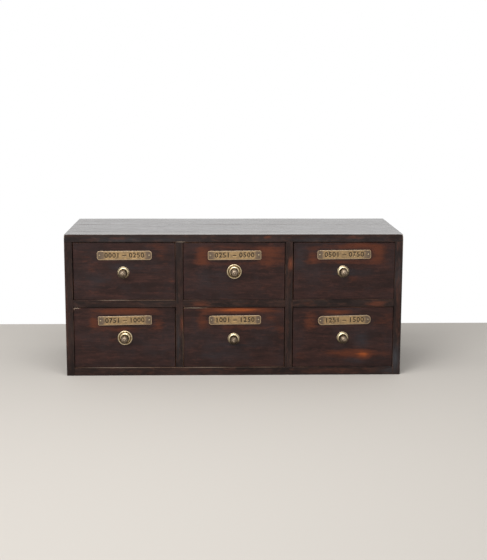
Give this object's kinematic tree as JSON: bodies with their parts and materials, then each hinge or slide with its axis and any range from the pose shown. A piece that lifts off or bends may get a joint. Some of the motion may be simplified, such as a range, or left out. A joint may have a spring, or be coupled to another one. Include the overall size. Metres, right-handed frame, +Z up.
{
  "type": "card catalogue cabinet",
  "caption": "Low wooden card catalogue cabinet: a bank of sliding card drawers, each with a turned brass knob on a rosette and a brass label plate.",
  "frame": {"origin": "centre of the lowest face of the bounding box, on the surface that the case stands on", "axes": "+X to the right as seen from the front, +Y towards the back, +Z up; the drawers open towards -Y"},
  "size_m": [0.762, 0.3348, 0.325],
  "materials": {
    "case_wood": "old dark varnish, worn at the arrises",
    "front_wood": "old dark red-brown varnish, rubbed through in places",
    "lining_wood": "bare planed softwood, darkened with age",
    "back_wood": "thin stain, unpolished",
    "bright_brass": "polished by handling",
    "dull_brass": "tarnished brown",
    "plate_brass": "brushed, tarnished at the ends",
    "steel": "dulled"
  },
  "bodies": {
    "case": {"case_top": "case_wood", "case_bottom": "case_wood", "case_side_left": "case_wood", "case_side_right": "case_wood", "case_shelf": "case_wood", "case_partition_left": "case_wood", "case_partition_right": "case_wood", "case_back_upper": "back_wood", "case_back_lower": "back_wood", "case_back_nails": "steel", "case_drawer_stops": "lining_wood"},
    "drawer_1": {"drawer_1_front": "front_wood", "drawer_1_sides": "lining_wood", "drawer_1_back": "lining_wood", "drawer_1_bottom": "lining_wood", "drawer_1_rosette": "bright_brass", "drawer_1_knob": "dull_brass", "drawer_1_label_plate": "plate_brass", "drawer_1_fasteners": "steel"},
    "drawer_2": {"drawer_2_front": "front_wood", "drawer_2_sides": "lining_wood", "drawer_2_back": "lining_wood", "drawer_2_bottom": "lining_wood", "drawer_2_rosette": "bright_brass", "drawer_2_knob": "dull_brass", "drawer_2_label_plate": "plate_brass", "drawer_2_fasteners": "steel"},
    "drawer_3": {"drawer_3_front": "front_wood", "drawer_3_sides": "lining_wood", "drawer_3_back": "lining_wood", "drawer_3_bottom": "lining_wood", "drawer_3_rosette": "bright_brass", "drawer_3_knob": "dull_brass", "drawer_3_label_plate": "plate_brass", "drawer_3_fasteners": "steel"},
    "drawer_4": {"drawer_4_front": "front_wood", "drawer_4_sides": "lining_wood", "drawer_4_back": "lining_wood", "drawer_4_bottom": "lining_wood", "drawer_4_rosette": "bright_brass", "drawer_4_knob": "dull_brass", "drawer_4_label_plate": "plate_brass", "drawer_4_fasteners": "steel"},
    "drawer_5": {"drawer_5_front": "front_wood", "drawer_5_sides": "lining_wood", "drawer_5_back": "lining_wood", "drawer_5_bottom": "lining_wood", "drawer_5_rosette": "bright_brass", "drawer_5_knob": "dull_brass", "drawer_5_label_plate": "plate_brass", "drawer_5_fasteners": "steel"},
    "drawer_6": {"drawer_6_front": "front_wood", "drawer_6_sides": "lining_wood", "drawer_6_back": "lining_wood", "drawer_6_bottom": "lining_wood", "drawer_6_rosette": "bright_brass", "drawer_6_knob": "dull_brass", "drawer_6_label_plate": "plate_brass", "drawer_6_fasteners": "steel"}
  },
  "joints": [
    {"name": "drawer_1_slide", "type": "slide", "parent": "case", "child": "drawer_1", "axis": [0, -1, 0], "range_m": [0, 0.205]},
    {"name": "drawer_2_slide", "type": "slide", "parent": "case", "child": "drawer_2", "axis": [0, -1, 0], "range_m": [0, 0.205]},
    {"name": "drawer_3_slide", "type": "slide", "parent": "case", "child": "drawer_3", "axis": [0, -1, 0], "range_m": [0, 0.205]},
    {"name": "drawer_4_slide", "type": "slide", "parent": "case", "child": "drawer_4", "axis": [0, -1, 0], "range_m": [0, 0.205]},
    {"name": "drawer_5_slide", "type": "slide", "parent": "case", "child": "drawer_5", "axis": [0, -1, 0], "range_m": [0, 0.205]},
    {"name": "drawer_6_slide", "type": "slide", "parent": "case", "child": "drawer_6", "axis": [0, -1, 0], "range_m": [0, 0.205]}
  ]
}
